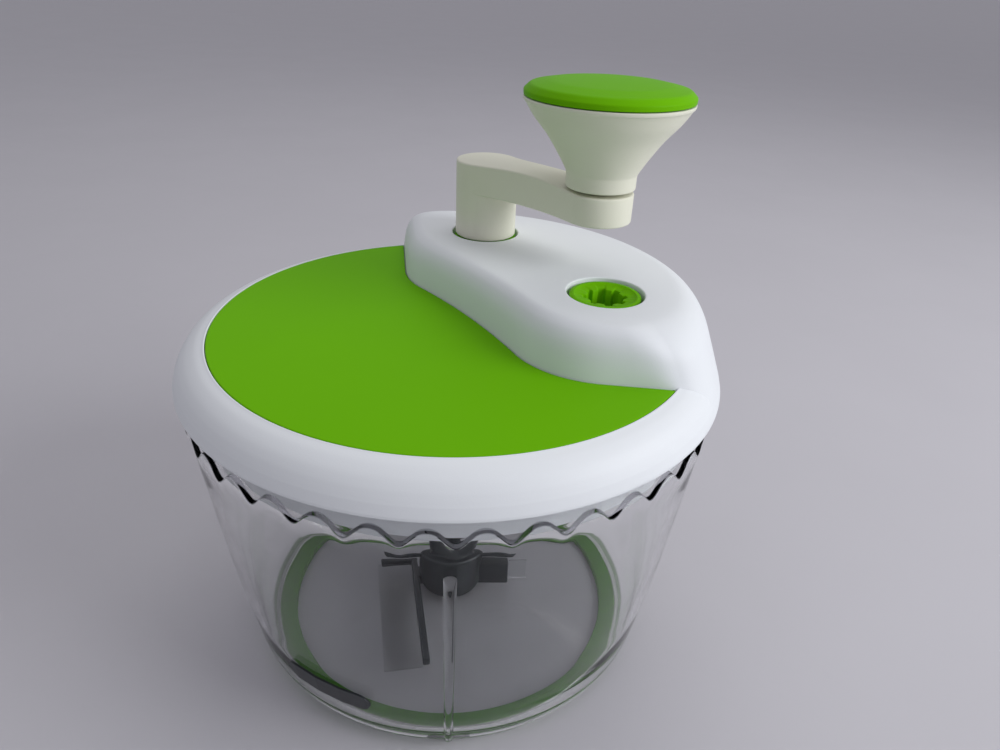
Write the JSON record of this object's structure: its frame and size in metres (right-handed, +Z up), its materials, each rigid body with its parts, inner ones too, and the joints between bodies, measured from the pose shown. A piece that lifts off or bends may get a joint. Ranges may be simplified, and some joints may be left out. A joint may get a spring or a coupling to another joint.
{
  "type": "hand-cranked food chopper",
  "caption": "Hand-cranked food chopper: clear bowl with a geared lid, a crank with a flared knob, a second crank socket and a mixing rotor.",
  "frame": {"origin": "centre of the base, on the surface that the bowl stands on, at the middle of the box seen from above", "axes": "+Z up along the bowl's axis; -Y towards the bowl's front rib; +X towards the second crank socket"},
  "size_m": [0.1804, 0.1804, 0.1986],
  "materials": {
    "clear_plastic": "clear glossy moulded plastic",
    "white_plastic": "white semi-gloss moulded plastic",
    "green_plastic": "lime green satin moulded plastic",
    "green_rubber": "soft green translucent rubber",
    "ivory_plastic": "ivory satin moulded plastic",
    "dark_plastic": "dark grey satin moulded plastic",
    "smoke_plastic": "smoky clear moulded plastic",
    "steel": "plain steel",
    "nylon": "natural nylon",
    "silicone": "pale silicone rubber"
  },
  "bodies": {
    "bowl_body": {"bowl": "clear_plastic", "anti_slip_ring": "green_rubber", "pivot_pin": "steel", "name_badge": "dark_plastic"},
    "lid": {"lid_shell": "white_plastic", "gear_housing": "white_plastic", "leaf_panel": "green_plastic", "lid_gasket": "silicone", "gear_plate": "white_plastic", "plate_screw_1": "steel", "plate_screw_2": "steel", "plate_screw_3": "steel", "plate_screw_4": "steel", "output_bush": "nylon", "shaft_seal": "silicone", "drive_axle": "steel", "idler_axle": "steel", "free_axle": "steel"},
    "drive": {"drive_gear": "green_plastic"},
    "idler": {"idler_gear": "nylon"},
    "free": {"free_gear": "green_plastic"},
    "output": {"output_gear": "nylon", "output_shaft": "steel"},
    "crank": {"crank_arm": "ivory_plastic", "knob_pin": "steel", "knob_washer": "steel"},
    "knob": {"knob_body": "ivory_plastic", "knob_cap": "green_plastic"},
    "rotor": {"rotor_hub": "dark_plastic", "front_paddle": "smoke_plastic", "side_paddle": "smoke_plastic"}
  },
  "joints": [
    {"name": "lid_lift", "type": "slide", "parent": "bowl_body", "child": "lid", "axis": [0, 0, 1], "range_m": [0, 0.12]},
    {"name": "drive_spin", "type": "hinge", "parent": "lid", "child": "drive", "pos_m": [0.01192, 0.0489, 0.118], "axis": [0, 0, 1], "continuous": true},
    {"name": "crank_pull", "type": "slide", "parent": "drive", "child": "crank", "axis": [0, 0, 1], "range_m": [0, 0.025]},
    {"name": "knob_spin", "type": "hinge", "parent": "crank", "child": "knob", "pos_m": [0.04782, 0.01324, 0.175], "axis": [0, 0, 1], "continuous": true},
    {"name": "idler_spin", "type": "hinge", "parent": "lid", "child": "idler", "pos_m": [0.02335, 0.01635, 0.11], "axis": [0, 0, 1], "continuous": true},
    {"name": "free_spin", "type": "hinge", "parent": "lid", "child": "free", "pos_m": [0.0486, -0.01035, 0.118], "axis": [0, 0, 1], "continuous": true},
    {"name": "output_spin", "type": "hinge", "parent": "lid", "child": "output", "pos_m": [0, 0, 0.1], "axis": [0, 0, 1], "continuous": true},
    {"name": "rotor_spin", "type": "hinge", "parent": "bowl_body", "child": "rotor", "pos_m": [0, 0, 0.02], "axis": [0, 0, 1], "continuous": true}
  ],
  "couplings": [
    {"joint": "idler_spin", "follows": "drive_spin", "ratio": -2.2857},
    {"joint": "free_spin", "follows": "drive_spin", "ratio": 2.1943},
    {"joint": "output_spin", "follows": "drive_spin", "ratio": 3.9184},
    {"joint": "rotor_spin", "follows": "drive_spin", "ratio": 3.9184}
  ]
}
